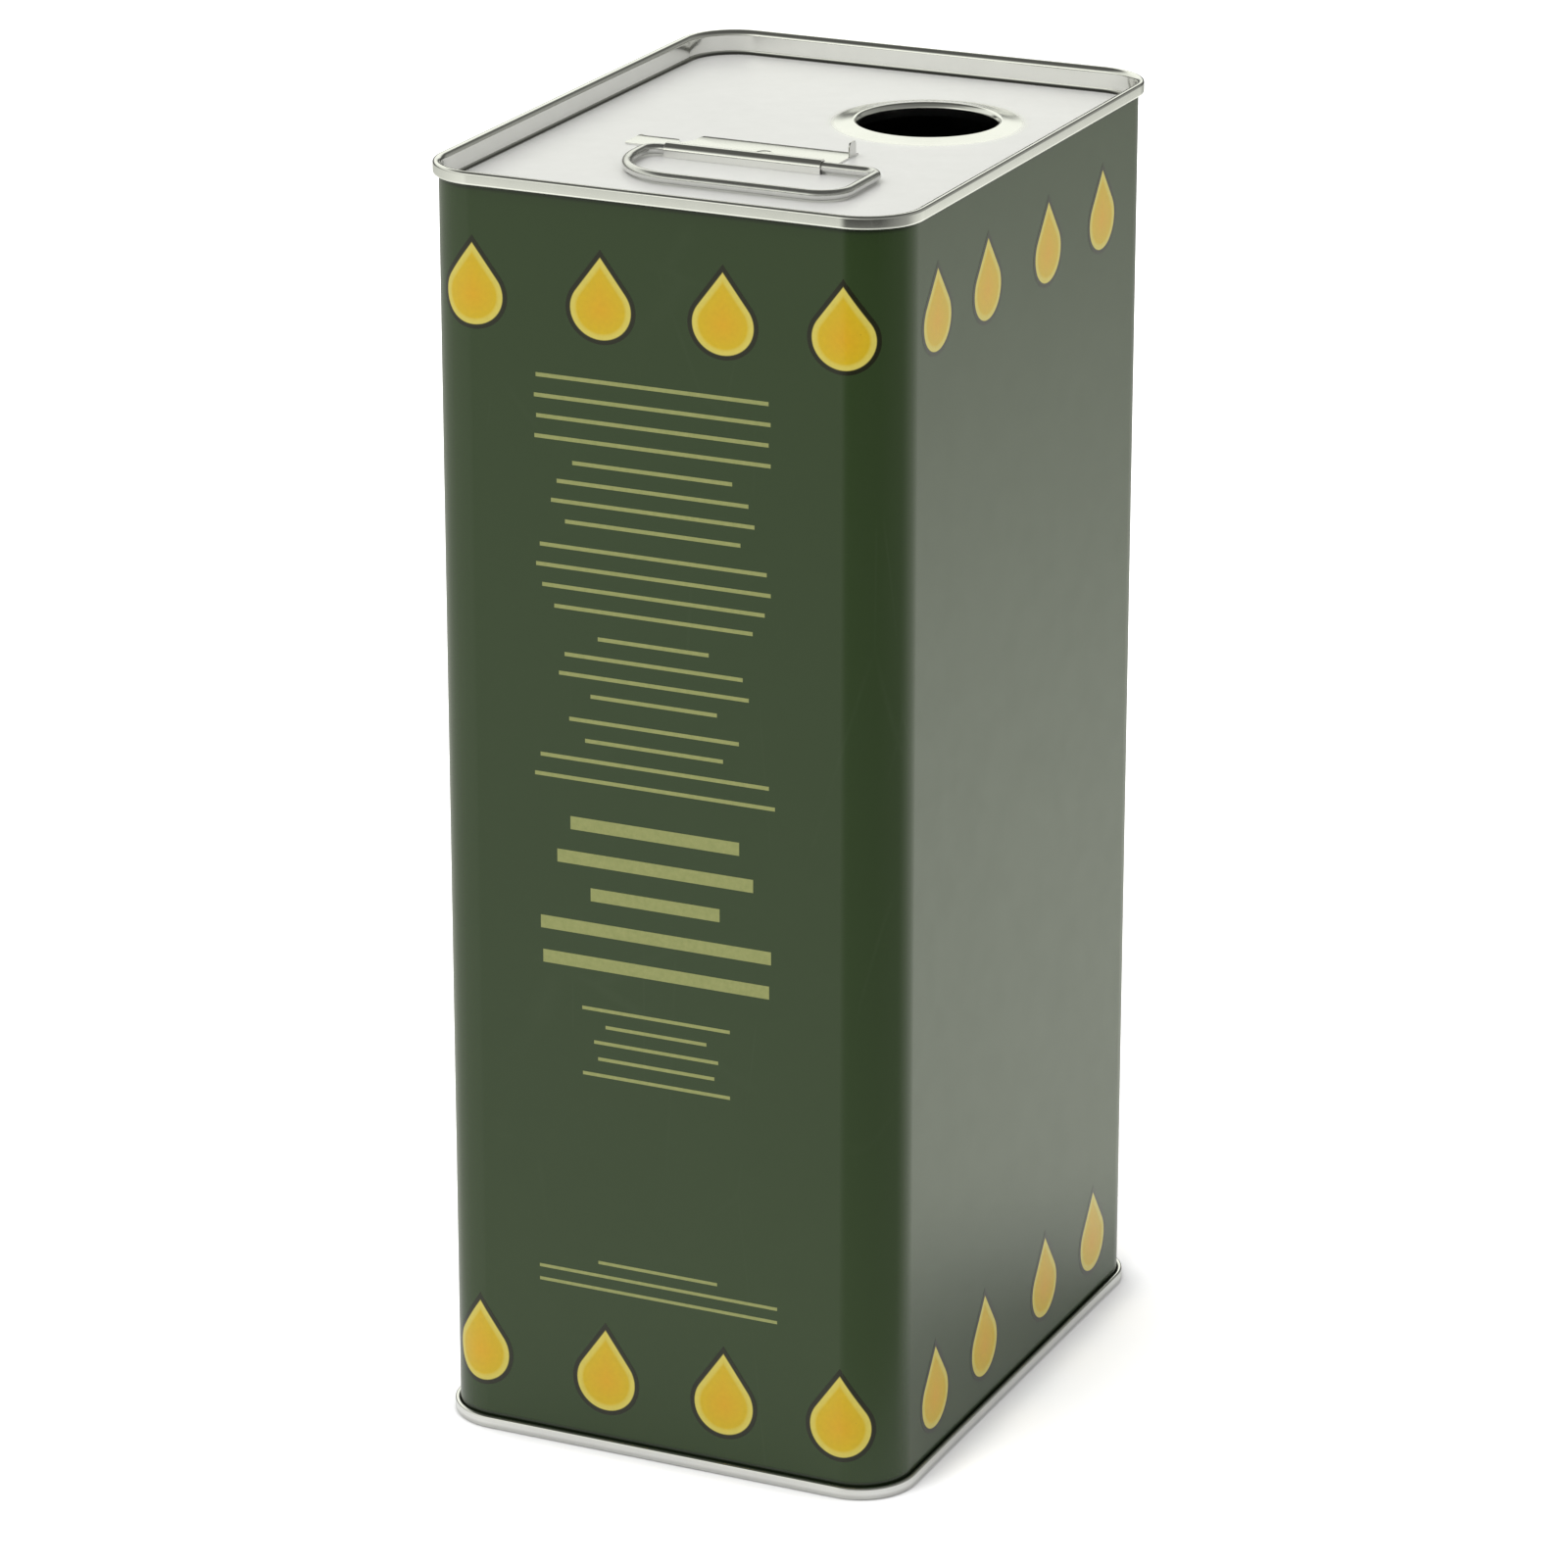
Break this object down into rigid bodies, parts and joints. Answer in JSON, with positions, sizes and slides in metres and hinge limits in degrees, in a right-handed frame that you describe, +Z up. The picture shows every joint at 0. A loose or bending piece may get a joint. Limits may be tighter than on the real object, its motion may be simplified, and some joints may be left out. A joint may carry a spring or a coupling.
{
  "type": "oil can",
  "caption": "Tall rectangular sheet-metal oil can with rounded corners, double-seamed ends, a raised round pouring hole and a folding wire bail handle.",
  "frame": {"origin": "middle of the can's foot, on the surface it stands on", "axes": "+Z up the can, -Y out of the printed front face, +X out of the deeper side face"},
  "size_m": [0.1202, 0.1556, 0.31],
  "materials": {
    "printed_tinplate": "gloss",
    "bright_tinplate": "bright",
    "handle_tinplate": "bright",
    "tinned_wire": "bright",
    "seam_compound": "matt"
  },
  "bodies": {
    "can": {"body_shell": "printed_tinplate", "top_end": "bright_tinplate", "bottom_end": "bright_tinplate", "top_seam_compound": "seam_compound", "bottom_seam_compound": "seam_compound", "handle_clip": "handle_tinplate"},
    "bail": {"handle_bail": "tinned_wire"}
  },
  "joints": [
    {"name": "bail_fold", "type": "hinge", "parent": "can", "child": "bail", "pos_m": [0.0026, -0.024, 0.30555], "axis": [-1, 0, 0], "range_deg": [0, 170]}
  ]
}
